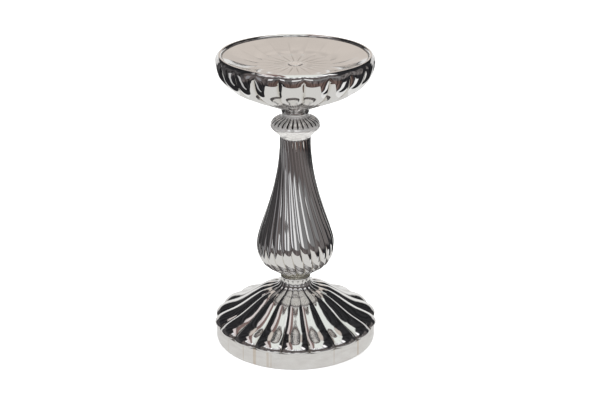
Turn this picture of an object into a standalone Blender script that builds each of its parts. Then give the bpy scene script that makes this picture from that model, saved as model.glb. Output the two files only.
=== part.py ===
"""Pillar candlestick in silver-plated metal: turned and lobed sections clamped on one tie rod.

Lengths below are in millimetres and are turned into metres when the shapes are made.
The origin is the centre of the felt's lower face, +Z is up and -Y is the front.
"""
import math

import bmesh
import bpy
from mathutils import Matrix, Vector

MM = 0.001
GAP = 0.3  # clearance left between pieces that touch

# Driving dimensions of the whole candlestick
HEIGHT = 254.0
BAND_RADIUS = 68.9
BAND_TOP = 15.3
BASE_NECK_TOP = 57.6
NECK_RADIUS = 12.9
STEM_FOOT = 59.3
STEM_HEAD = 183.2
BELLY_RADIUS = 33.1
COLLAR_RADIUS = 20.8
COLLAR_EDGE = 192.6
COLLAR_TOP = 204.3
BOWL_BOTTOM = 206.9
DISH_EDGE_RADIUS = 59.3
DISH_EDGE_TOP = 252.0
DISH_FLOOR = 244.7

# Lobes and flutes
BASE_LOBES = 18
BOWL_LOBES = 20
BOWL_TURN = math.radians(-2.5)
STEM_FLUTES = 24
STEM_TURN = math.radians(5.0)
COLLAR_RIBS = 28

# Sheet, rod, bush and fastener sizes
SHEET = 1.0
DISH_SHEET = 0.9
BAND_WALL = 1.2
BAND_LIP_INNER = 64.0
HEM_INNER = 66.2
HEM_BOTTOM = 0.4
FELT_RADIUS = 65.8
PLATE_RADIUS = 67.4
WEIGHT_RADIUS = 62.0
WEIGHT_TOP = 32.0
SPACER_RADIUS = 5.6
BUSH_RADIUS = 9.6
BORE_RADIUS = 10.0
FOOT_BUSH_TOP = 65.0
HEAD_BUSH_BOTTOM = 173.0
BOWL_SPACER_RADIUS = 6.8
DISH_WASHER_RADIUS = 8.5
FLAT_WASHER_RADIUS = 9.0
LOCK_WASHER_RADIUS = 5.8
LOCK_SLOT = 0.8
THIN_WASHER = 1.5
LOCK_THICKNESS = 1.4
NUT_ACROSS_FLATS = 10.0
ROD_CHAMFER = 0.6
OVERCUT = 3.0
ROD_RADIUS = 3.0
ROD_BORE = 3.4
SLEEVE_RADIUS = 4.4
SLEEVE_BORE = 4.8
ROD_FOOT = 3.4
FELT_THICKNESS = 1.2
PLATE_BOTTOM = 1.8
RECESS_TOP = 12.0
FINE_STEPS = 54
ROUND_STEPS = 36
INNER_STEPS = 20
CURVE_STEPS = 24


def clear_scene():
    for thing in list(bpy.data.objects):
        bpy.data.objects.remove(thing, do_unlink=True)


def new_collection(name):
    collection = bpy.data.collections.new(name)
    bpy.context.scene.collection.children.link(collection)
    return collection


def metal(name, colour, roughness, metallic=1.0):
    material = bpy.data.materials.new(name)
    material.use_nodes = True
    shader = material.node_tree.nodes["Principled BSDF"]
    shader.inputs["Base Color"].default_value = (*colour, 1.0)
    shader.inputs["Roughness"].default_value = roughness
    shader.inputs["Metallic"].default_value = metallic
    material.diffuse_color = (*colour, 1.0)
    return material


def smooth_line(points, count):
    """Points spread along a smooth curve through the given (radius, height) points."""
    path = [Vector(p) for p in points]
    path = [2 * path[0] - path[1]] + path + [2 * path[-1] - path[-2]]
    fine = []
    for a, b, c, d in zip(path, path[1:], path[2:], path[3:]):
        for k in range(CURVE_STEPS):
            t = k / CURVE_STEPS
            fine.append(0.5 * (2 * b + (c - a) * t + (2 * a - 5 * b + 4 * c - d) * t ** 2
                               + (3 * b - a - 3 * c + d) * t ** 3))
    fine.append(path[-2])
    lengths = [0.0]
    for a, b in zip(fine, fine[1:]):
        lengths.append(lengths[-1] + (b - a).length)
    even = []
    for k in range(count):
        goal = lengths[-1] * k / (count - 1)
        i = max(j for j in range(len(fine) - 1) if lengths[j] <= goal + 1e-9)
        part = (goal - lengths[i]) / (lengths[i + 1] - lengths[i])
        even.append(tuple(fine[i].lerp(fine[i + 1], part)))
    return even


def turned(name, profile, material, collection, steps=INNER_STEPS, closed=True):
    """A turned piece: the profile, in millimetres, swept round Z by a Screw modifier."""
    mesh = bpy.data.meshes.new(name)
    verts = [(r * MM, 0.0, z * MM) for r, z in profile]
    edges = [(i, i + 1) for i in range(len(verts) - 1)]
    if closed:
        edges.append((len(verts) - 1, 0))
    mesh.from_pydata(verts, edges, [])
    piece = bpy.data.objects.new(name, mesh)
    collection.objects.link(piece)
    screw = piece.modifiers.new("turn", "SCREW")
    screw.axis = "Z"
    screw.steps = steps
    screw.render_steps = steps
    screw.use_merge_vertices = True
    screw.merge_threshold = 0.00001
    mesh.materials.append(material)
    return piece


def apply_modifiers(piece):
    """Replace the piece's mesh by its evaluated one."""
    graph = bpy.context.evaluated_depsgraph_get()
    mesh = bpy.data.meshes.new_from_object(piece.evaluated_get(graph))
    piece.modifiers.clear()
    piece.data = mesh
    return mesh


def shade(piece, angle=35.0):
    mesh = apply_modifiers(piece)
    mesh.shade_smooth()
    mesh.set_sharp_from_angle(angle=math.radians(angle))


def normals_of(profile):
    """Outward unit normal at each point of a profile that runs down its outer side."""
    normals = []
    last = len(profile) - 1
    for i in range(last + 1):
        r0, z0 = profile[max(i - 1, 0)]
        r1, z1 = profile[min(i + 1, last)]
        along = Vector((r1 - r0, z1 - z0)).normalized()
        normals.append(Vector((-along.y, along.x)))
    normals[-1].y = 0.0  # the lower end stays in its own plane
    return normals


def lobe(angle, count):
    """1 on the crest of a convex lobe and 0 in the crease between two lobes."""
    return abs(math.cos(count * angle / 2))


def press_lobes(piece, profile, count, depth, turn):
    """Sink the creases between lobes into a turned surface, along its own normals.

    depth(i) is the crease's depth at profile point i, and turn(i) the lobes' turn there.
    """
    mesh = apply_modifiers(piece)
    normals = normals_of(profile)
    for vertex in mesh.vertices:
        x, y, z = vertex.co / MM
        radius = math.hypot(x, y)
        i = min(range(len(profile)),
                key=lambda k: (profile[k][0] - radius) ** 2 + (profile[k][1] - z) ** 2)
        angle = math.atan2(x, -y)
        sink = depth(i) * (1 - lobe(angle, count))
        radius -= sink * normals[i].x
        z -= sink * normals[i].y
        angle += turn(i)
        vertex.co = Vector((radius * math.sin(angle), -radius * math.cos(angle), z)) * MM


def thicken(piece, thickness=SHEET):
    solidify = piece.modifiers.new("sheet", "SOLIDIFY")
    solidify.thickness = thickness * MM
    solidify.offset = -1.0
    solidify.use_even_offset = True


def cut(piece, cutter):
    """Cut the cutter's shape out of a piece."""
    cutter.hide_render = True
    cutter.display_type = "WIRE"
    boolean = piece.modifiers.new("cut", "BOOLEAN")
    boolean.operation = "DIFFERENCE"
    boolean.object = cutter


def ring_profile(inner, outer, bottom, top):
    """The square section of a washer, a bush or a tube."""
    return [(outer, top), (outer, bottom), (inner, bottom), (inner, top)]


def spread(value, low, high):
    """0 below low, 1 above high and smooth between."""
    t = min(max((value - low) / (high - low), 0.0), 1.0)
    return t * t * (3 - 2 * t)


def solid_from(name, shape, material, collection):
    """An object whose mesh is taken from a bmesh, which is then freed."""
    mesh = bpy.data.meshes.new(name)
    shape.to_mesh(mesh)
    shape.free()
    mesh.materials.append(material)
    piece = bpy.data.objects.new(name, mesh)
    collection.objects.link(piece)
    return piece


def make_base(parts, silver, iron, steel, felt):
    """Felt, cover plate, rim band, weight and the lobed bell above them."""
    pad = [(0, FELT_THICKNESS), (FELT_RADIUS, FELT_THICKNESS), (FELT_RADIUS, 0), (0, 0)]
    felt_pad = turned("felt_pad", pad, felt, parts, FINE_STEPS, closed=False)
    plate_top = PLATE_BOTTOM + SHEET
    plate = [(0, plate_top), (PLATE_RADIUS, plate_top), (PLATE_RADIUS, PLATE_BOTTOM),
             (0, PLATE_BOTTOM)]
    base_plate = turned("base_plate", plate, steel, parts, FINE_STEPS, closed=False)

    wall_inner = BAND_RADIUS - BAND_WALL
    hem_top = PLATE_BOTTOM - GAP
    band = [(BAND_LIP_INNER, BAND_TOP), (BAND_RADIUS, BAND_TOP), (BAND_RADIUS, 1.0),
            (BAND_RADIUS - 0.6, HEM_BOTTOM), (HEM_INNER, HEM_BOTTOM), (HEM_INNER, hem_top),
            (wall_inner, hem_top), (wall_inner, BAND_TOP - SHEET),
            (BAND_LIP_INNER, BAND_TOP - SHEET)]
    base_band = turned("base_band", band, silver, parts, FINE_STEPS)

    low = plate_top + GAP
    weight = [(ROD_BORE, WEIGHT_TOP), (11, WEIGHT_TOP), (14, 31), (37, 26.5), (51, 17.5),
              (WEIGHT_RADIUS - 1, 11.5), (WEIGHT_RADIUS, 10.5), (WEIGHT_RADIUS, low + 1),
              (WEIGHT_RADIUS - 1, low), (10, low), (10, RECESS_TOP), (ROD_BORE, RECESS_TOP)]
    base_weight = turned("base_weight", weight, iron, parts, ROUND_STEPS)
    spacer = ring_profile(ROD_BORE, SPACER_RADIUS, WEIGHT_TOP + GAP,
                          BASE_NECK_TOP - SHEET - GAP)
    base_spacer = turned("base_spacer", spacer, steel, parts)

    rim = BAND_RADIUS + 1.7
    bell = [(NECK_RADIUS - 0.8, BASE_NECK_TOP), (NECK_RADIUS, BASE_NECK_TOP - 0.8),
            (NECK_RADIUS, 52.2), (14.2, 49.2), (18.5, 46.1), (29, 42.1), (40, 35.8),
            (49, 29.9), (55.5, 26.4), (62, 23.7), (66.8, 20.4), (rim, 17.5),
            (rim, BAND_TOP + GAP)]
    profile = [(ROD_BORE, BASE_NECK_TOP)] + bell

    def crease_depth(i):
        radius = profile[i][0]
        return 0.0 if i < 3 else 0.2 + 0.026 * radius + 0.8 * spread(radius, 55, 70)

    base_shell = turned("base_shell", profile, silver, parts, BASE_LOBES * 4, closed=False)
    press_lobes(base_shell, profile, BASE_LOBES, crease_depth, lambda i: 0.0)
    thicken(base_shell)
    for piece in (felt_pad, base_plate, base_band, base_weight, base_spacer, base_shell):
        shade(piece)


def flute_turns(profile):
    """Turn of the flutes at each point, steepest on the belly and least at the foot."""
    turns = [STEM_TURN]
    for (r0, z0), (r1, z1) in zip(profile, profile[1:]):
        step = math.hypot(r1 - r0, z1 - z0)
        height = (z0 + z1) / 2
        slant = 0.14 + 0.08 * (1 - spread(height, 75, 105)) - 0.16 * (1 - spread(height, 58, 74))
        turns.append(turns[-1] + slant * step / ((r0 + r1) / 2))
    return turns


def make_stem(parts, cutters, silver, brass):
    """Ring, hollow stem with twisted flutes, and the bushes that centre it on the rod."""
    top = STEM_FOOT - GAP
    bottom = BASE_NECK_TOP + GAP
    ring = [(12.6, top), (13.3, top - 0.3), (13.3, bottom + 0.3), (12.6, bottom),
            (ROD_BORE, bottom), (ROD_BORE, top)]
    lower_collar = turned("lower_collar", ring, brass, parts, ROUND_STEPS)

    outline = [(13.1, STEM_HEAD), (13.3, 172), (15.2, 155), (18.9, 137), (24, 119.5),
               (29.6, 103), (32.6, 92), (BELLY_RADIUS, 84.5), (31.6, 76.5), (27.6, 69.8),
               (21, 65), (16, 62), (13.8, 60.4), (13.3, STEM_FOOT)]
    profile = smooth_line(outline, 12)
    turns = flute_turns(profile)
    solid = [(0, STEM_HEAD)] + profile + [(0, STEM_FOOT)]
    turns = turns[:1] + turns + turns[-1:]
    stem_shell = turned("stem_shell", solid, silver, parts, STEM_FLUTES * 3, closed=False)

    def flute_depth(i):
        radius, height = solid[i]
        low_belly = (1 - spread(height, 70, 104)) * spread(height, STEM_FOOT, 66)
        return 0.0 if i in (0, len(solid) - 1) else 0.1 + 0.014 * radius + 1.1 * low_belly

    press_lobes(stem_shell, solid, STEM_FLUTES, flute_depth, lambda i: turns[i])
    over = STEM_HEAD + OVERCUT
    under = STEM_FOOT - OVERCUT
    bore = [(0, over), (BORE_RADIUS, over), (BORE_RADIUS, 163), (12.4, 150), (20, 120),
            (28.5, 92), (28.9, 84), (24, 73.5), (15, 67.5), (BORE_RADIUS, 66),
            (BORE_RADIUS, under), (0, under)]
    hollow = turned("stem_hollow", bore, silver, cutters, closed=False)
    cut(stem_shell, hollow)
    foot = ring_profile(ROD_BORE, BUSH_RADIUS, STEM_FOOT, FOOT_BUSH_TOP)
    foot_bush = turned("stem_foot_bush", foot, brass, parts)
    head = ring_profile(ROD_BORE, BUSH_RADIUS, HEAD_BUSH_BOTTOM, STEM_HEAD)
    head_bush = turned("stem_head_bush", head, brass, parts)
    for piece in (lower_collar, stem_shell, foot_bush, head_bush):
        shade(piece)


def make_collar(parts, silver):
    """The cast neck with its ribbed skirt, and the seat that the bowl stands on."""
    bottom = STEM_HEAD + GAP
    upper = [(11.3, COLLAR_TOP), (11.2, 202.0), (12.8, 200.3), (16.4, 198.8), (19.3, 197.0)]
    edge = [(COLLAR_RADIUS - 0.3, 194.8), (COLLAR_RADIUS, COLLAR_EDGE)]
    lower = [(20, 190.6), (17.2, 187.8), (14.3, 185.4), (13.3, bottom)]
    section = [(ROD_BORE, COLLAR_TOP)] + upper + edge + lower + [(ROD_BORE, bottom)]
    ribs = [0, 0, 0.2, 0.55, 0.6, 0.55, 0.1] + [0] * 6
    knop_collar = turned("knop_collar", section, silver, parts, COLLAR_RIBS * 2)
    press_lobes(knop_collar, section, COLLAR_RIBS, lambda i: ribs[i], lambda i: 0.0)
    top = BOWL_BOTTOM - GAP
    low = COLLAR_TOP + GAP
    seat = [(11.2, top), (11.7, top - 0.7), (11.2, low), (ROD_BORE, low), (ROD_BORE, top)]
    bowl_seat = turned("bowl_seat", seat, silver, parts, ROUND_STEPS)
    for piece in (knop_collar, bowl_seat):
        shade(piece)


def make_bowl(parts, silver, steel):
    """Lobed bowl, candle dish, the pieces between them and the button on the rod's end."""
    lip = [(59.9, 251.6), (60.3, 253.4), (61.3, HEIGHT), (63.8, 252.4)]
    side = [(65.1, 250), (65.4, 244.5), (63.7, 238.7), (59.5, 232.4), (52.4, 226.4),
            (43, 221.2), (31, 216), (20.5, 211.6), (14, 208.4), (11.5, BOWL_BOTTOM)]
    profile = lip + smooth_line(side, 6) + [(ROD_BORE, BOWL_BOTTOM)]

    def crease_depth(i):
        return 2.0 * spread(i, 2, 5) * spread(profile[i][0], 11.5, 50)

    bowl_shell = turned("bowl_shell", profile, silver, parts, BOWL_LOBES * 4, closed=False)
    press_lobes(bowl_shell, profile, BOWL_LOBES, crease_depth, lambda i: BOWL_TURN)
    thicken(bowl_shell)

    floor = [(SLEEVE_BORE, DISH_FLOOR), (8, DISH_FLOOR), (23, DISH_FLOOR - 0.2),
             (34, DISH_FLOOR + 0.2), (44, DISH_FLOOR + 2.2), (DISH_EDGE_RADIUS, DISH_EDGE_TOP)]
    petals = [0.0, 0.3, 0.6, 0.5, 0.6, 0.0]
    dish_plate = turned("dish_plate", floor, silver, parts, BOWL_LOBES * 3, closed=False)
    press_lobes(dish_plate, floor, BOWL_LOBES, lambda i: petals[i], lambda i: BOWL_TURN)
    thicken(dish_plate, DISH_SHEET)

    washer_top = DISH_FLOOR - DISH_SHEET - max(petals) - 0.1
    washer_bottom = washer_top - THIN_WASHER
    washer = ring_profile(SLEEVE_BORE, DISH_WASHER_RADIUS, washer_bottom, washer_top)
    dish_washer = turned("dish_washer", washer, steel, parts)
    sleeve = ring_profile(SLEEVE_BORE, BOWL_SPACER_RADIUS, BOWL_BOTTOM + SHEET + GAP,
                          washer_bottom - GAP)
    bowl_spacer = turned("bowl_spacer", sleeve, steel, parts)

    seat = DISH_FLOOR + GAP
    sleeve_end = seat - 9
    button = [(0, seat + 1.9), (3.2, seat + 1.8), (5.2, seat + 1.3), (6.2, seat + 0.5),
              (6.2, seat), (SLEEVE_RADIUS, seat), (SLEEVE_RADIUS, sleeve_end),
              (ROD_BORE, sleeve_end), (ROD_BORE, seat), (0, seat)]
    centre_button = turned("centre_button", button, silver, parts, ROUND_STEPS, closed=False)
    rod_top = seat - GAP
    inner = ROD_RADIUS - ROD_CHAMFER
    rod = [(0, rod_top), (inner, rod_top), (ROD_RADIUS, rod_top - ROD_CHAMFER),
           (ROD_RADIUS, ROD_FOOT + ROD_CHAMFER), (inner, ROD_FOOT), (0, ROD_FOOT)]
    tie_rod = turned("tie_rod", rod, steel, parts, closed=False)
    for piece in (bowl_shell, dish_plate, dish_washer, bowl_spacer, centre_button, tie_rod):
        shade(piece)


def make_fasteners(parts, cutters, steel):
    """Washers and nut on the rod's lower end, inside the recess of the weight."""
    flat_top = RECESS_TOP - GAP
    flat_bottom = flat_top - THIN_WASHER
    flat = ring_profile(ROD_BORE, FLAT_WASHER_RADIUS, flat_bottom, flat_top)
    flat_washer = turned("flat_washer", flat, steel, parts)

    lock_top = flat_bottom - GAP
    lock_bottom = lock_top - LOCK_THICKNESS
    lock = ring_profile(ROD_BORE, LOCK_WASHER_RADIUS, lock_bottom, lock_top)
    lock_washer = turned("lock_washer", lock, steel, parts)
    middle = ((ROD_BORE + LOCK_WASHER_RADIUS) / 2, (lock_top + lock_bottom) / 2)
    size = Matrix.Diagonal((4 * MM, LOCK_SLOT * MM, OVERCUT * MM, 1))
    place = Matrix.Translation((middle[0] * MM, 0, middle[1] * MM))
    slot = bmesh.new()
    bmesh.ops.create_cube(slot, size=1,
                          matrix=place @ Matrix.Rotation(math.radians(20), 4, "X") @ size)
    cut(lock_washer, solid_from("lock_washer_slot", slot, steel, cutters))

    nut_top = lock_bottom - GAP
    nut_bottom = ROD_FOOT + 0.2
    corner = NUT_ACROSS_FLATS / math.cos(math.radians(30)) / 2
    hexagon = bmesh.new()
    bmesh.ops.create_cone(hexagon, cap_ends=True, segments=6, radius1=corner * MM,
                          radius2=corner * MM, depth=(nut_top - nut_bottom) * MM,
                          matrix=Matrix.Translation((0, 0, (nut_top + nut_bottom) / 2 * MM)))
    tie_nut = solid_from("tie_nut", hexagon, steel, parts)
    thread = [(0, nut_top + OVERCUT), (ROD_BORE, nut_top + OVERCUT),
              (ROD_BORE, nut_bottom - OVERCUT), (0, nut_bottom - OVERCUT)]
    cut(tie_nut, turned("nut_thread", thread, steel, cutters, closed=False))
    for piece in (flat_washer, lock_washer, tie_nut):
        shade(piece)


def main():
    clear_scene()
    parts = new_collection("silver_candlestick")
    cutters = new_collection("cutters")
    silver = metal("silver", (0.93, 0.92, 0.90), 0.06)
    brass = metal("brass", (0.80, 0.68, 0.40), 0.25)
    iron = metal("cast_iron", (0.09, 0.09, 0.10), 0.7)
    steel = metal("steel", (0.55, 0.56, 0.58), 0.35)
    felt = metal("felt", (0.03, 0.10, 0.05), 0.95, 0.0)
    make_base(parts, silver, iron, steel, felt)
    make_stem(parts, cutters, silver, brass)
    make_collar(parts, silver)
    make_bowl(parts, silver, steel)
    make_fasteners(parts, cutters, steel)


main()
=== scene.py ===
import math

import bpy
import numpy as np
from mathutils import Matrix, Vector


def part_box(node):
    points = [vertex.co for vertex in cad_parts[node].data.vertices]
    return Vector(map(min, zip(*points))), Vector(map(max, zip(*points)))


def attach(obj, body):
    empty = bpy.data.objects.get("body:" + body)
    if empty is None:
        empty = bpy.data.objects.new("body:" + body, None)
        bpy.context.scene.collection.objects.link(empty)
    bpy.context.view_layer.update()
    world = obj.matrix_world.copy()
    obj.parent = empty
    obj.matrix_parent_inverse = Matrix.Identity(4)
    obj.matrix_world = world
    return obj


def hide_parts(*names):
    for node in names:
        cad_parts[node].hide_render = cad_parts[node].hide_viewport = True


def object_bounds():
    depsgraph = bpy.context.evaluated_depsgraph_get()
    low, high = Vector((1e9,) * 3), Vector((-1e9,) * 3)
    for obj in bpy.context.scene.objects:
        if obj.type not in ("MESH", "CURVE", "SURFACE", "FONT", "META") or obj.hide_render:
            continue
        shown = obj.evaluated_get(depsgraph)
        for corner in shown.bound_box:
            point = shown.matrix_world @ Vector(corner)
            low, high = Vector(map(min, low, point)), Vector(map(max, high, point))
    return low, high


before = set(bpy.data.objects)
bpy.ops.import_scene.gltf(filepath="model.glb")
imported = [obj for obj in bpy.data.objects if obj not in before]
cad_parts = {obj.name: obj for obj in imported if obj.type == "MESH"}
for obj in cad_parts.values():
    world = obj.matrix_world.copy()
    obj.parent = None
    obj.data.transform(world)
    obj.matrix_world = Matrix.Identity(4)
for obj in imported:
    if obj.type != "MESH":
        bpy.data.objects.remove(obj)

CAD_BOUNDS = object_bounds()
HEIGHT = CAD_BOUNDS[1].z - CAD_BOUNDS[0].z
MM = HEIGHT / 254.0  # one design millimetre, in metres of the frame

BASE_LOBES = 18
BOWL_LOBES = 20
BOWL_TURN = math.radians(-2.5)
STEM_FLUTES = 24
STEM_TURN = math.radians(5.0)
COLLAR_RIBS = 28

# Sheet thickness of each skin and the radius of the tie rod's hole, in millimetres.
BASE_SHEET, STEM_SHEET, COLLAR_WALL, BOWL_SHEET, DISH_SHEET = 0.9, 1.6, 1.2, 0.9, 0.8
ROD_HOLE = 3.4
SPAN_STEPS = 40  # short steps that smooth_line takes between two given points


# Materials

def new_material(name):
    material = bpy.data.materials.new(name)
    material.use_nodes = True
    nodes = material.node_tree.nodes
    return material, nodes, material.node_tree.links, nodes["Principled BSDF"]


def noise(nodes, links, scale, detail=4.0, rough=0.5, stretch=None):
    """A noise texture in object space, its grain given in features per metre."""
    where = nodes.new("ShaderNodeTexCoord")
    texture = nodes.new("ShaderNodeTexNoise")
    texture.inputs["Scale"].default_value = scale
    texture.inputs["Detail"].default_value = detail
    texture.inputs["Roughness"].default_value = rough
    if stretch is None:
        links.new(where.outputs["Object"], texture.inputs["Vector"])
    else:
        mapping = nodes.new("ShaderNodeMapping")
        mapping.inputs["Scale"].default_value = stretch
        links.new(where.outputs["Object"], mapping.inputs["Vector"])
        links.new(mapping.outputs["Vector"], texture.inputs["Vector"])
    return texture


def ramp(nodes, links, source, stops):
    node = nodes.new("ShaderNodeValToRGB")
    elements = node.color_ramp.elements
    while len(elements) < len(stops):
        elements.new(0.5)
    for element, (place, colour) in zip(elements, stops):
        element.position = place
        element.color = (*colour, 1.0)
    links.new(source, node.inputs["Fac"])
    return node.outputs["Color"]


def spread_value(nodes, links, source, low, high):
    """Stretch a value between 0 and 1 onto the range from low to high."""
    node = nodes.new("ShaderNodeMapRange")
    node.inputs["To Min"].default_value = low
    node.inputs["To Max"].default_value = high
    links.new(source, node.inputs["Value"])
    return node.outputs["Result"]


def bump(nodes, links, height, strength, distance):
    """Normals of a surface raised by a height of up to distance, in metres."""
    node = nodes.new("ShaderNodeBump")
    node.inputs["Strength"].default_value = strength
    node.inputs["Distance"].default_value = distance
    links.new(height, node.inputs["Height"])
    return node.outputs["Normal"]


def mix_colours(nodes, links, factor, under, over, blend="MIX"):
    """Blend over onto under. Each may be a plain value or the output of a node."""
    mix = nodes.new("ShaderNodeMix")
    mix.data_type = "RGBA"
    mix.blend_type = blend
    for name, value in (("Factor", factor), ("A", under), ("B", over)):
        if isinstance(value, float):
            mix.inputs[name].default_value = value
        elif isinstance(value, tuple):
            mix.inputs[name].default_value = (*value, 1)
        else:
            links.new(value, mix.inputs[name])
    return mix.outputs["Result"]


def math_node(nodes, links, operation, *values):
    node = nodes.new("ShaderNodeMath")
    node.operation = operation
    for socket, value in zip(node.inputs, values):
        if isinstance(value, (int, float)):
            socket.default_value = value
        else:
            links.new(value, socket)
    return node.outputs["Value"]


def polished_silver(name, tint, rough, crease_shade, wave, metallic=1.0, reach=0.55, runs=None):
    """Mirror-bright plate: hairline wear, waves as of hammered sheet and painted shade in
    creases.

    rough is the range of the roughness, crease_shade how much of the tint is left in the deepest
    crease as painted shade, and wave the waves' strength. Below 1, metallic gives the pale bloom
    of a satin casting. A lower reach spreads the painted shade further out of the crease.
    runs is the colour of the faint stains that run down the metal, if there are any.
    """
    material, nodes, links, shader = new_material(name)
    shader.inputs["Metallic"].default_value = metallic
    crease = nodes.new("ShaderNodeAttribute")
    crease.attribute_name = "crease"
    clouds = noise(nodes, links, 45.0, 3.0)
    cloudy = math_node(nodes, links, "MULTIPLY", crease.outputs["Fac"], clouds.outputs["Fac"])
    # Painted shade: the tint darkens in the creases, most in the deepest, broken up by cloudy
    # noise.
    painted_shade_tint = tuple(c * crease_shade * f for c, f in zip(tint, (1.0, 0.96, 0.88)))
    colour = ramp(nodes, links, cloudy, [(0.08, tint), (reach, painted_shade_tint)])
    if runs:
        drips = noise(nodes, links, 1.0, 2.0, 0.5, (190.0, 190.0, 5.0))
        stain = ramp(nodes, links, drips.outputs["Fac"], [(0.60, tint), (0.70, runs)])
        colour = mix_colours(nodes, links, 1.0, colour, stain, "DARKEN")
    links.new(colour, shader.inputs["Base Color"])
    wear = noise(nodes, links, 420.0, 6.0, 0.6)
    links.new(spread_value(nodes, links, wear.outputs["Fac"], *rough),
              shader.inputs["Roughness"])
    hammer = noise(nodes, links, 70.0, 2.0, 0.4)
    links.new(bump(nodes, links, hammer.outputs["Fac"], wave, 0.0004), shader.inputs["Normal"])
    return material


def turned_metal(name, tint, rough, groove):
    """Lathe-turned, drawn or plated metal: a cloudy colour under fine rings along Z."""
    material, nodes, links, shader = new_material(name)
    shader.inputs["Metallic"].default_value = 1.0
    clouds = noise(nodes, links, 160.0, 4.0)
    shade = tuple(c * 0.82 for c in tint)
    links.new(ramp(nodes, links, clouds.outputs["Fac"], [(0.3, shade), (0.7, tint)]),
              shader.inputs["Base Color"])
    links.new(spread_value(nodes, links, clouds.outputs["Fac"], rough - 0.08, rough + 0.08),
              shader.inputs["Roughness"])
    rings = noise(nodes, links, 1.0, 2.0, 0.5, (60.0, 60.0, groove))
    links.new(bump(nodes, links, rings.outputs["Fac"], 0.25, 0.00008), shader.inputs["Normal"])
    return material


def cast_iron():
    material, nodes, links, shader = new_material("cast_iron")
    shader.inputs["Metallic"].default_value = 0.75
    grain = noise(nodes, links, 700.0, 8.0, 0.65)
    rust = noise(nodes, links, 60.0, 5.0)
    links.new(ramp(nodes, links, rust.outputs["Fac"],
                   [(0.45, (0.075, 0.075, 0.08)), (0.62, (0.10, 0.085, 0.075)),
                    (0.75, (0.17, 0.09, 0.05))]), shader.inputs["Base Color"])
    links.new(spread_value(nodes, links, grain.outputs["Fac"], 0.55, 0.9),
              shader.inputs["Roughness"])
    links.new(bump(nodes, links, grain.outputs["Fac"], 0.7, 0.0006), shader.inputs["Normal"])
    return material


def felt_cloth():
    material, nodes, links, shader = new_material("felt")
    shader.inputs["Roughness"].default_value = 0.95
    shader.inputs["Sheen Weight"].default_value = 0.35
    fibres = noise(nodes, links, 2600.0, 6.0, 0.7)
    patches = noise(nodes, links, 120.0, 3.0)
    fibre_colour = ramp(nodes, links, fibres.outputs["Fac"],
                        [(0.3, (0.012, 0.045, 0.024)), (0.7, (0.04, 0.12, 0.065))])
    patch_colour = ramp(nodes, links, patches.outputs["Fac"],
                        [(0.3, (0.02, 0.07, 0.035)), (0.7, (0.035, 0.10, 0.05))])
    links.new(mix_colours(nodes, links, 0.35, fibre_colour, patch_colour),
              shader.inputs["Base Color"])
    links.new(bump(nodes, links, fibres.outputs["Fac"], 0.8, 0.0004), shader.inputs["Normal"])
    return material


# The CAD nodes that keep their own shape, by the material that each one gets.
KEPT_NODES = {
    "cast_iron": ["base_weight"],
    "plated_brass": ["stem_foot_bush", "stem_head_bush"],
    "drawn_steel": ["base_spacer", "bowl_spacer", "tie_rod"],
    "zinc_steel": ["base_plate", "dish_washer", "flat_washer", "lock_washer", "tie_nut"],
}


def finish_kept_nodes(materials):
    for name, nodes in KEPT_NODES.items():
        for node in nodes:
            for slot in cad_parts[node].material_slots:
                slot.material = materials[name]


# Shapes

def smooth_line(points, count):
    """Points evenly spread along a smooth curve through the given (radius, height) points."""
    path = np.array(points, float)
    path = np.vstack([2 * path[0] - path[1], path, 2 * path[-1] - path[-2]])
    t = np.linspace(0, 1, SPAN_STEPS + 1)[:-1, None]
    fine = []
    for a, b, c, d in zip(path, path[1:], path[2:], path[3:]):
        fine.append(0.5 * (2 * b + (c - a) * t + (2 * a - 5 * b + 4 * c - d) * t ** 2
                           + (3 * b - a - 3 * c + d) * t ** 3))
    fine = np.vstack(fine + [path[-2]])
    run = np.concatenate([[0], np.cumsum(np.hypot(*np.diff(fine, axis=0).T))])
    goal = np.linspace(0, run[-1], count)
    return np.stack([np.interp(goal, run, fine[:, k]) for k in (0, 1)], axis=1)


def fit_height(node, outline):
    """An outline in metres, its top and bottom stretched to those of the CAD node's box."""
    low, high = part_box(node)
    z = outline[:, 1]
    share = (z - z.min()) / (z.max() - z.min())
    return np.stack([outline[:, 0] * MM, low[2] + share * (high[2] - low[2])], axis=1)


def ease(value, low, high):
    """0 below low, 1 above high and smooth between."""
    t = np.clip((value - low) / (high - low), 0, 1)
    return t * t * (3 - 2 * t)


def arch(share, fullness):
    """Section of a convex lobe: 1 on its crest, 0 in the creases at shares -1 and 1."""
    low = math.sqrt(1 - fullness)
    return (np.sqrt(1 - fullness * share ** 2) - low) / (1 - low)


def lobe_columns(lobes, per_lobe):
    """Azimuths round the axis, closer together near the creases, and each one's arch."""
    u = (np.arange(per_lobe) / per_lobe - 0.5) * math.pi
    share = np.sin(u)
    azimuths = [(k + 0.5 * s) * math.tau / lobes for k in range(lobes) for s in share]
    return np.array(azimuths), np.tile(share, lobes)


def normals_of(outline):
    """Outward unit normals of an outline that runs down its outer side."""
    along = np.gradient(outline, axis=0)
    along /= np.hypot(along[:, 0], along[:, 1])[:, None]
    return np.stack([-along[:, 1], along[:, 0]], axis=1)


def mesh_piece(name, points, faces, material):
    mesh = bpy.data.meshes.new(name)
    mesh.from_pydata([tuple(p) for p in points], [], faces)
    mesh.materials.append(material)
    mesh.update()
    piece = bpy.data.objects.new(name, mesh)
    bpy.context.scene.collection.objects.link(piece)
    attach(piece, "root")
    return piece


def ring_faces(rows, columns):
    """Quads of a surface of rows that each close round the axis."""
    faces = []
    for i in range(rows - 1):
        for j in range(columns):
            k = (j + 1) % columns
            faces.append((i * columns + j, (i + 1) * columns + j,
                          (i + 1) * columns + k, i * columns + k))
    return faces


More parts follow.
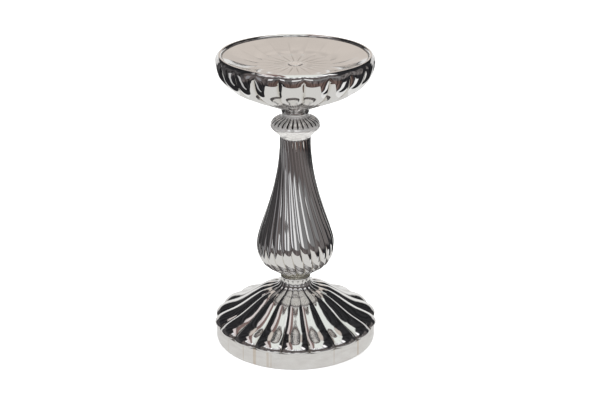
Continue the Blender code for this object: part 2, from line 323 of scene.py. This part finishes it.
def lobed_skin(name, outline, lobes, per_lobe, depth, twist, material, full=0.5, fade=3.0):
    """A turned surface whose creases sink below the outline along its own normals.

    depth and twist hold one value per outline point: the crease's depth and the lobes' turn.
    The "crease" attribute, for the painted shade in creases, is 1 in the deepest crease, and
    wider if fade is less.
    """
    azimuths, share = lobe_columns(lobes, per_lobe)
    low = 1 - arch(share, full)
    normals = normals_of(outline)
    r = outline[:, :1] - depth[:, None] * normals[:, :1] * low
    z = outline[:, 1:] - depth[:, None] * normals[:, 1:] * low
    z = np.maximum(z, outline[:, 1].min())  # no crease dips under the outline's own foot
    a = azimuths[None, :] + twist[:, None]
    points = np.stack([r * np.sin(a), -r * np.cos(a), z], axis=2).reshape(-1, 3)
    piece = mesh_piece(name, points, ring_faces(len(outline), len(azimuths)), material)
    crease = piece.data.attributes.new("crease", "FLOAT", "POINT")
    strength = (low ** fade)[None, :] * (depth / depth.max())[:, None]
    crease.data.foreach_set("value", strength.reshape(-1).astype(np.float32))
    return piece


def finish_skin(piece, thickness=None, angle=75.0):
    """Give an open skin its sheet thickness and shade it smooth."""
    if thickness is not None:
        solidify = piece.modifiers.new("sheet", "SOLIDIFY")
        solidify.thickness = thickness
        solidify.offset = -1.0
        solidify.use_even_offset = False
    piece.data.shade_smooth()
    piece.data.set_sharp_from_angle(angle=math.radians(angle))


def turned(name, outline, material, steps=128, angle=35.0):
    """A closed turned piece. An outline point on the axis becomes one pole."""
    outline = np.array(outline, float)
    closed = outline[0, 0] > 1e-9
    if closed:
        outline = np.vstack([outline, outline[:1]])
    a = np.arange(steps) * math.tau / steps
    body = outline if closed else outline[1:-1]
    r = body[:, :1]
    points = np.stack([r * np.sin(a), -r * np.cos(a), body[:, 1:] + 0 * a], axis=2)
    points = points.reshape(-1, 3)
    faces = ring_faces(len(body), steps)
    last = (len(body) - 1) * steps
    if closed:
        faces = [tuple(v if v < last else v - last for v in face) for face in faces]
        points = points[:last]
    else:
        top, bottom = len(points), len(points) + 1
        points = np.vstack([points, [[0, 0, outline[0, 1]], [0, 0, outline[-1, 1]]]])
        for j in range(steps):
            k = (j + 1) % steps
            faces.append((top, j, k))
            faces.append((bottom, last + k, last + j))
    piece = mesh_piece(name, points, faces, material)
    finish_skin(piece, angle=angle)
    return piece


def rounded(inner, outer, bottom, top, edge, corners):
    """Section of a ring with rounded edges, from its top round its outside."""
    points = []
    centres = [(outer - edge, top - edge, 90), (outer - edge, bottom + edge, 0),
               (inner + edge, bottom + edge, -90), (inner + edge, top - edge, -180)]
    for r, z, start in centres:
        for k in range(corners + 1):
            angle = math.radians(start - 90 * k / corners)
            points.append((r + edge * math.cos(angle), z + edge * math.sin(angle)))
    return points


def piece_for(node, piece):
    """Hide a CAD node, for which a fine piece stands."""
    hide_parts(node)


# The candlestick

def make_base(silver, rim_silver):
    bell = [(12.1, 57.6), (12.7, 57.3), (12.9, 56.6), (12.75, 54.8), (12.9, 52.4), (13.8, 49.8),
            (16.2, 47.4), (20, 45.6), (25, 44), (31, 41.6), (38, 37.3), (44, 33.2), (49, 29.9),
            (53.5, 27.3), (57.5, 25.5), (61, 24.1), (64, 22.8), (66.6, 21.3), (68.8, 19.4),
            (70.1, 17.6), (70.5, 16.5), (70.5, 15.6)]
    line = np.vstack([[(ROD_HOLE + 0.2, 57.6), (11.0, 57.6)], smooth_line(bell, 120)])
    line = fit_height("base_shell", line)
    r = line[:, 0] / MM
    rows = np.arange(len(r))
    # Deeper creases towards the noses, and none in the plain neck.
    depth = (0.2 + 0.026 * r + 0.8 * ease(r, 55, 70)) * ease(rows, 4, 12) * MM
    shell = lobed_skin("base_shell_fine", line, BASE_LOBES, 18, depth, 0 * r, silver)
    finish_skin(shell, BASE_SHEET * MM)
    piece_for("base_shell", shell)

    low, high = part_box("base_band")
    outer, top, bottom = high[0] / MM, high[2] / MM, low[2] / MM
    wall, top_flange, foot_flange = 1.2, 64.0, 66.2  # the last two are inner radii
    band = [(top_flange, top), (outer - 0.5, top), (outer - 0.15, top - 0.15),
            (outer, top - 0.5), (outer, bottom + 1.4), (outer - 0.15, bottom + 0.6),
            (outer - 0.6, bottom + 0.12), (outer - 1.1, bottom), (foot_flange, bottom),
            (foot_flange, bottom + 1.1), (outer - wall, bottom + 1.1),
            (outer - wall, top - 1.0), (top_flange, top - 1.0)]
    piece_for("base_band", turned("base_band_fine", np.array(band) * MM, rim_silver, 192))


def make_felt(felt):
    """The pad under the base, its cut edge slightly rounded."""
    low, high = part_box("felt_pad")
    outer, top = high[0] / MM, high[2] / MM
    edge = 0.35
    section = [(0, top), (outer * 0.5, top), (outer - edge, top), (outer - 0.1, top - 0.1),
               (outer, top - edge), (outer, edge), (outer - 0.1, 0.1), (outer - edge, 0),
               (outer * 0.5, 0), (0, 0)]
    section = np.array(section) * MM + np.array([0, low[2]])
    piece_for("felt_pad", turned("felt_pad_fine", section, felt, 192))


def stem_twist(line):
    """Turn of the flutes at each point: steepest on the belly and least at the foot."""
    r, z = line[:, 0], line[:, 1] / MM
    step = np.hypot(np.diff(r), np.diff(z * MM))
    middle = (z[1:] + z[:-1]) / 2
    slant = 0.14 + 0.08 * (1 - ease(middle, 75, 105)) - 0.16 * (1 - ease(middle, 58, 74))
    return STEM_TURN + np.concatenate([[0], np.cumsum(slant * step * 2 / (r[1:] + r[:-1]))])


def make_stem(silver, brass):
    outline = [(13.1, 183.2), (13.3, 172), (15.2, 155), (18.9, 137), (24, 119.5), (29.6, 103),
               (32.6, 92), (33.1, 84), (31.6, 76.3), (27.6, 69.8), (21, 65), (16, 62),
               (13.8, 60.4), (13.3, 59.3)]
    line = fit_height("stem_shell", smooth_line(outline, 145))
    z = line[:, 1] / MM
    low_belly = (1 - ease(z, 70, 104)) * ease(z, 59.3, 66)
    depth = 0.018 * line[:, 0] + (0.1 + 1.1 * low_belly) * MM
    stem = lobed_skin("stem_shell_fine", line, STEM_FLUTES, 14, depth, stem_twist(line), silver)
    finish_skin(stem, STEM_SHEET * MM)
    piece_for("stem_shell", stem)

    ring = [(12.4, 59.0), (12.9, 58.95), (13.2, 58.75), (13.3, 58.45), (13.2, 58.15),
            (12.9, 57.95), (12.4, 57.9), (ROD_HOLE, 57.9), (ROD_HOLE, 59.0)]
    ring = fit_height("lower_collar", np.array(ring))
    piece_for("lower_collar", turned("lower_collar_fine", ring, brass))


def make_collar(satin, silver):
    outline = [(11.3, 204.3), (11.1, 203.0), (11.4, 201.8), (12.6, 200.5), (14.6, 199.6),
               (16.9, 198.7), (18.8, 197.4), (20.0, 195.9), (20.6, 194.2), (20.8, 192.5),
               (20.2, 191.0), (18.5, 189.1), (16.0, 186.8), (14.0, 184.9), (13.3, 183.5)]
    line = np.vstack([[(ROD_HOLE, 204.3), (10.8, 204.3)], smooth_line(outline, 100),
                      [(ROD_HOLE, 183.5)]])
    line = fit_height("knop_collar", line)
    z = line[:, 1] / MM
    # Ribs on the skirt only, dying out up the neck. The flat top's three rows stay plain.
    depth = 0.55 * ease(z, 194.6, 196.2) * (1 - 0.8 * ease(z, 199.8, 202.5)) * MM
    depth[:3] = 0
    knop = lobed_skin("knop_collar_fine", line, COLLAR_RIBS, 14, depth, 0 * z, satin, 0.88, 1.0)
    finish_skin(knop, COLLAR_WALL * MM)
    piece_for("knop_collar", knop)

    low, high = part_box("bowl_seat")
    seat_radius, seat_edge = 11.7, 0.6
    seat = rounded(ROD_HOLE, seat_radius, low[2] / MM, high[2] / MM, seat_edge, 5)
    piece_for("bowl_seat", turned("bowl_seat_fine", np.array(seat) * MM, silver))


def make_bowl(silver, dish_silver):
    outline = [(59.7, 251.3), (59.7, 252.2), (60.0, 252.9), (60.6, 253.6), (61.4, 254),
               (62.4, 253.8), (63.5, 253.0), (64.5, 251.8), (65.2, 250.2), (65.5, 248.3),
               (65.5, 246.3), (65.2, 243.6), (64.0, 239.4), (61.9, 235.6), (58.3, 231.3),
               (52.6, 226.5), (43, 221.2), (31, 216), (20.5, 211.6), (14, 208.4),
               (11.5, 206.9)]
    line = np.vstack([smooth_line(outline, 130), [(ROD_HOLE, 206.9)]])
    line = fit_height("bowl_shell", line)
    r = line[:, 0] / MM
    rows = np.arange(len(r))
    # The lip starts plain and the creases deepen over its crest.
    depth = 1.8 * ease(rows, 6, 25) * ease(r, 11.5, 52) * MM
    turn = np.full(len(r), BOWL_TURN)
    bowl = lobed_skin("bowl_shell_fine", line, BOWL_LOBES, 16, depth, turn, silver)
    finish_skin(bowl, BOWL_SHEET * MM)
    piece_for("bowl_shell", bowl)

    dish_depth, edge = 7.3, 59.3
    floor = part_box("dish_plate")[1][2] / MM - dish_depth
    outline = [(4.8, floor + 0.1), (6.2, floor + 0.2), (8, floor), (14, floor),
               (24, floor - 0.15), (31, floor), (36, floor + 0.5), (41, floor + 1.5),
               (47, floor + 3.3), (53, floor + 5.3), (edge, floor + dish_depth)]
    line = smooth_line(outline, 80) * MM
    r = line[:, 0] / MM
    # Deepest round the button, shallow on the floor and gone before the edge.
    depth = (ease(r, 6.4, 12) * (1 - 0.75 * ease(r, 12, 32)) * (1 - ease(r, 48, edge))) * MM
    turn = np.full(len(r), BOWL_TURN)
    dish = lobed_skin("dish_plate_fine", line, BOWL_LOBES, 12, depth, turn, dish_silver, 0.7, 1.6)
    finish_skin(dish, DISH_SHEET * MM)
    piece_for("dish_plate", dish)


def make_button(silver):
    """Low domed cap with a rounded edge, on the sleeve nut that takes the tie rod."""
    low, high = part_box("centre_button")
    top = high[2] / MM
    seat = top - 1.9
    sleeve, end = 4.4, low[2] / MM
    cap = smooth_line([(0.5, top - 0.03), (1.5, top - 0.25), (3.0, top - 0.66),
                       (4.5, top - 1.10), (5.5, top - 1.43), (6.1, seat + 0.12),
                       (6.15, seat)], 28)
    section = np.vstack([[(0, top)], cap, [(sleeve, seat), (sleeve, end + 0.3),
                         (sleeve - 0.3, end), (ROD_HOLE, end), (ROD_HOLE, seat),
                         (0, seat)]])
    piece_for("centre_button", turned("centre_button_fine", section * MM, silver, 96))


def room():
    """Pale floor and soft lights, which the metal doesn't mirror: it sees studio_world."""
    bpy.ops.mesh.primitive_plane_add(size=14.0)
    floor = bpy.context.object
    floor.name = "floor"
    material, _, _, shader = new_material("floor_paper")
    shader.inputs["Base Color"].default_value = (0.93, 0.93, 0.93, 1)
    shader.inputs["Roughness"].default_value = 0.9
    floor.data.materials.append(material)
    floor.visible_glossy = False

    for name, place, size, power in (("key", (0.5, -0.9, 1.6), 1.2, 22),
                                     ("fill", (-1.0, -0.4, 1.3), 1.0, 14),
                                     ("back", (0.2, 1.2, 1.6), 1.2, 16)):
        light = bpy.data.lights.new(name, "AREA")
        light.size = size
        light.energy = power
        lamp = bpy.data.objects.new(name, light)
        lamp.location = place
        lamp.rotation_mode = "QUATERNION"
        aim = Vector((0, 0, HEIGHT / 2)) - Vector(place)
        lamp.rotation_quaternion = aim.to_track_quat("-Z", "Y")
        lamp.visible_glossy = False
        bpy.context.scene.collection.objects.link(lamp)


# What the metal sees: soft-edged patches of the studio round the object, painted in this order.
# FRONT patches have azimuths and elevations in degrees. REAR ones, which hold the wall behind
# and the ceiling, have a sideways share, the direction's own X, and a pitch in degrees that
# climbs from the horizon behind, 0, through the zenith, 90. Then the softness and the colour.
STUDIO = (0.018, 0.018, 0.020)
FRONT_SHADES = [
    ((-80, 60), (-20, 48), 8, (0.095, 0.083, 0.083)),
    ((-140, -80), (-16, 20), 8, (0.045, 0.043, 0.045)),
    ((60, 112), (-8, 22), 8, (0.13, 0.12, 0.12)),
    ((-30, 70), (-50, -20), 3, (0.10, 0.070, 0.063)),
    ((-75, 75), (47, 66), 4, (0.64, 0.64, 0.66)),
]
FRONT_LIGHTS = [
    ((-22, 66), (1, 17), 2, (0.15, 0.15, 0.155)),
    ((24, 64), (2, 17), 2, (0.21, 0.21, 0.215)),
    ((-3, 19), (2, 17), 1.5, (0.82, 0.82, 0.84)),
    ((82, 99), (-58, -26), 3, (0.85, 0.85, 0.86)),
    ((-99, -90), (-50, -12), 3, (0.50, 0.50, 0.51)),
    ((-33, -23), (0, 14), 1.5, (0.85, 0.86, 0.90)),
    ((-66, -56), (-12, 12), 2, (0.26, 0.26, 0.28)),
]
REAR = [
    ((-0.62, 0.62), (-8, 13), (0.08, 6), (0.62, 0.61, 0.61)),
    ((-0.31, 0.31), (24, 73), (0.03, 4), (0.61, 0.555, 0.515)),
    ((-0.27, 0.27), (9, 28), (0.03, 4), (0.61, 0.555, 0.515)),
    ((-0.44, 0.44), (-25, 9), (0.04, 3), (0.80, 0.80, 0.80)),
    ((-0.36, 0.50), (-90, -22), (0.04, 3), (0.80, 0.80, 0.80)),
    ((-0.48, -0.37), (74, 120), (0.03, 3), (0.72, 0.66, 0.66)),
    ((-0.31, -0.20), (74, 120), (0.05, 3), (0.22, 0.15, 0.14)),
    ((-0.15, 0.34), (74, 120), (0.06, 3), (0.80, 0.83, 0.81)),
]


def inside(nodes, links, value, low, high, soft):
    """1 where a value is between two limits, falling to 0 over a soft edge outside them."""
    edges = []
    for start, end in ((low - soft, low), (high + soft, high)):
        node = nodes.new("ShaderNodeMapRange")
        node.interpolation_type = "SMOOTHSTEP"
        node.inputs["From Min"].default_value = start
        node.inputs["From Max"].default_value = end
        links.new(value, node.inputs["Value"])
        edges.append(node.outputs["Result"])
    return math_node(nodes, links, "MULTIPLY", *edges)


def studio_world():
    """White light for matt surfaces and, for the metal, the studio's painted patches."""
    world = bpy.data.worlds.new("studio")
    bpy.context.scene.world = world
    world.use_nodes = True
    nodes, links = world.node_tree.nodes, world.node_tree.links
    axes = nodes.new("ShaderNodeSeparateXYZ")
    links.new(nodes.new("ShaderNodeTexCoord").outputs["Generated"], axes.inputs["Vector"])
    x, y, z = (axes.outputs[k] for k in "XYZ")
    front = math_node(nodes, links, "ARCTAN2", x, math_node(nodes, links, "MULTIPLY", y, -1))
    azimuth = math_node(nodes, links, "DEGREES", front)
    elevation = math_node(nodes, links, "DEGREES", math_node(nodes, links, "ARCSINE", z))
    pitch = math_node(nodes, links, "DEGREES", math_node(nodes, links, "ARCTAN2", z, y))

    def paint(colour, patches, sideways, upwards):
        for (left, right), (low, high), soft, shade in patches:
            soft_x, soft_y = soft if isinstance(soft, tuple) else (soft, soft)
            across = inside(nodes, links, sideways, left, right, soft_x)
            up = inside(nodes, links, upwards, low, high, soft_y)
            cover = math_node(nodes, links, "MULTIPLY", across, up)
            colour = mix_colours(nodes, links, cover, colour, shade)
        return colour

    def streaks(colour, across, up, low, high):
        """Multiply a colour by noise that changes fast across and slowly upwards."""
        place = nodes.new("ShaderNodeCombineXYZ")
        links.new(math_node(nodes, links, "MULTIPLY", azimuth, across), place.inputs["X"])
        links.new(math_node(nodes, links, "MULTIPLY", elevation, up), place.inputs["Y"])
        texture = nodes.new("ShaderNodeTexNoise")
        texture.inputs["Scale"].default_value = 1.0
        texture.inputs["Detail"].default_value = 3.0
        links.new(place.outputs["Vector"], texture.inputs["Vector"])
        level = nodes.new("ShaderNodeMapRange")
        level.inputs["From Min"].default_value = 0.3
        level.inputs["From Max"].default_value = 0.7
        level.inputs["To Min"].default_value = low
        level.inputs["To Max"].default_value = high
        links.new(texture.outputs["Fac"], level.inputs["Value"])
        mix = nodes.new("ShaderNodeVectorMath")
        mix.operation = "SCALE"
        links.new(colour, mix.inputs[0])
        links.new(level.outputs["Result"], mix.inputs["Scale"])
        return mix.outputs["Vector"]

    colour = streaks(paint(STUDIO, FRONT_SHADES, azimuth, elevation), 0.14, 0.03, 0.15, 2.2)
    colour = paint(colour, FRONT_LIGHTS, azimuth, elevation)
    colour = streaks(paint(colour, REAR, x, pitch), 0.05, 0.05, 0.88, 1.10)
    links.new(colour, nodes["Background"].inputs["Color"])
    plain = nodes.new("ShaderNodeBackground")
    plain.inputs["Color"].default_value = (1, 1, 1, 1)
    path = nodes.new("ShaderNodeLightPath")
    mix = nodes.new("ShaderNodeMixShader")
    links.new(path.outputs["Is Glossy Ray"], mix.inputs["Fac"])
    links.new(plain.outputs["Background"], mix.inputs[1])
    links.new(nodes["Background"].outputs["Background"], mix.inputs[2])
    links.new(mix.outputs["Shader"], nodes["World Output"].inputs["Surface"])


def paper():
    """A glowing sheet, seen only in the metal's reflections, for the pale paper under the object:
    wider in front than behind.
    """
    half, front_half, front, back, lift = 0.13, 0.32, 0.38, 0.9, 0.0004  # metres
    outline = [(-front_half, -front), (front_half, -front), (half, 0), (half, back),
               (-half, back), (-half, 0)]
    mesh = bpy.data.meshes.new("paper")
    mesh.from_pydata([(x, y, lift) for x, y in outline], [], [range(len(outline))])
    material = bpy.data.materials.new("paper_glow")
    material.use_nodes = True
    nodes, links = material.node_tree.nodes, material.node_tree.links
    nodes.remove(nodes["Principled BSDF"])
    emission = nodes.new("ShaderNodeEmission")
    mottle = noise(nodes, links, 60.0, 4.0)
    links.new(ramp(nodes, links, mottle.outputs["Fac"],
                   [(0.35, (0.62, 0.61, 0.60)), (0.65, (0.69, 0.69, 0.68))]),
              emission.inputs["Color"])
    links.new(emission.outputs["Emission"], nodes["Material Output"].inputs["Surface"])
    mesh.materials.append(material)
    sheet = bpy.data.objects.new("paper", mesh)
    bpy.context.scene.collection.objects.link(sheet)
    sheet.visible_camera = False
    sheet.visible_diffuse = False
    sheet.visible_shadow = False


def camera():
    """A long lens, level sideways, that looks down at the candlestick from the front."""
    data = bpy.data.cameras.new("camera")
    data.sensor_width = 36.0
    data.lens = 82.0
    data.dof.use_dof = False
    eye = bpy.data.objects.new("camera", data)
    shift, distance, rise, look_down = 0.0039, 4.236 * HEIGHT, 2.176 * HEIGHT, 21.65
    eye.location = (shift, -distance, rise)
    eye.rotation_euler = (math.radians(90 - look_down), 0, 0)
    bpy.context.scene.collection.objects.link(eye)
    bpy.context.scene.camera = eye


def main():
    bpy.context.scene.view_settings.view_transform = "Standard"
    silver = polished_silver("silver_plate", (0.93, 0.92, 0.90), (0.015, 0.06), 0.75, 0.14)
    rim = polished_silver("silver_rim", (0.90, 0.885, 0.865), (0.05, 0.12), 0.8, 0.03,
                          runs=(0.80, 0.73, 0.65))
    dish = polished_silver("silver_dish", (0.92, 0.91, 0.89), (0.07, 0.13), 0.50, 0.12)
    button = polished_silver("silver_button", (0.86, 0.83, 0.80), (0.20, 0.30), 0.8, 0.05, 0.92)
    satin = polished_silver("silver_satin", (0.90, 0.885, 0.865), (0.10, 0.20), 0.02, 0.16, 0.72,
                            0.26)
    lobes = polished_silver("silver_lobes", (0.93, 0.92, 0.90), (0.05, 0.11), 0.60, 0.16)
    ring_brass = turned_metal("ring_brass", (0.80, 0.78, 0.66), 0.20, 900.0)
    finish_kept_nodes({
        "cast_iron": cast_iron(),
        "plated_brass": turned_metal("plated_brass", (0.74, 0.66, 0.42), 0.24, 900.0),
        "drawn_steel": turned_metal("drawn_steel", (0.52, 0.53, 0.55), 0.34, 40.0),
        "zinc_steel": turned_metal("zinc_steel", (0.60, 0.61, 0.63), 0.38, 600.0),
    })
    make_felt(felt_cloth())
    make_base(lobes, rim)
    make_stem(silver, ring_brass)
    make_collar(satin, silver)
    make_bowl(silver, dish)
    make_button(button)
    camera()
    room()
    studio_world()
    paper()


main()
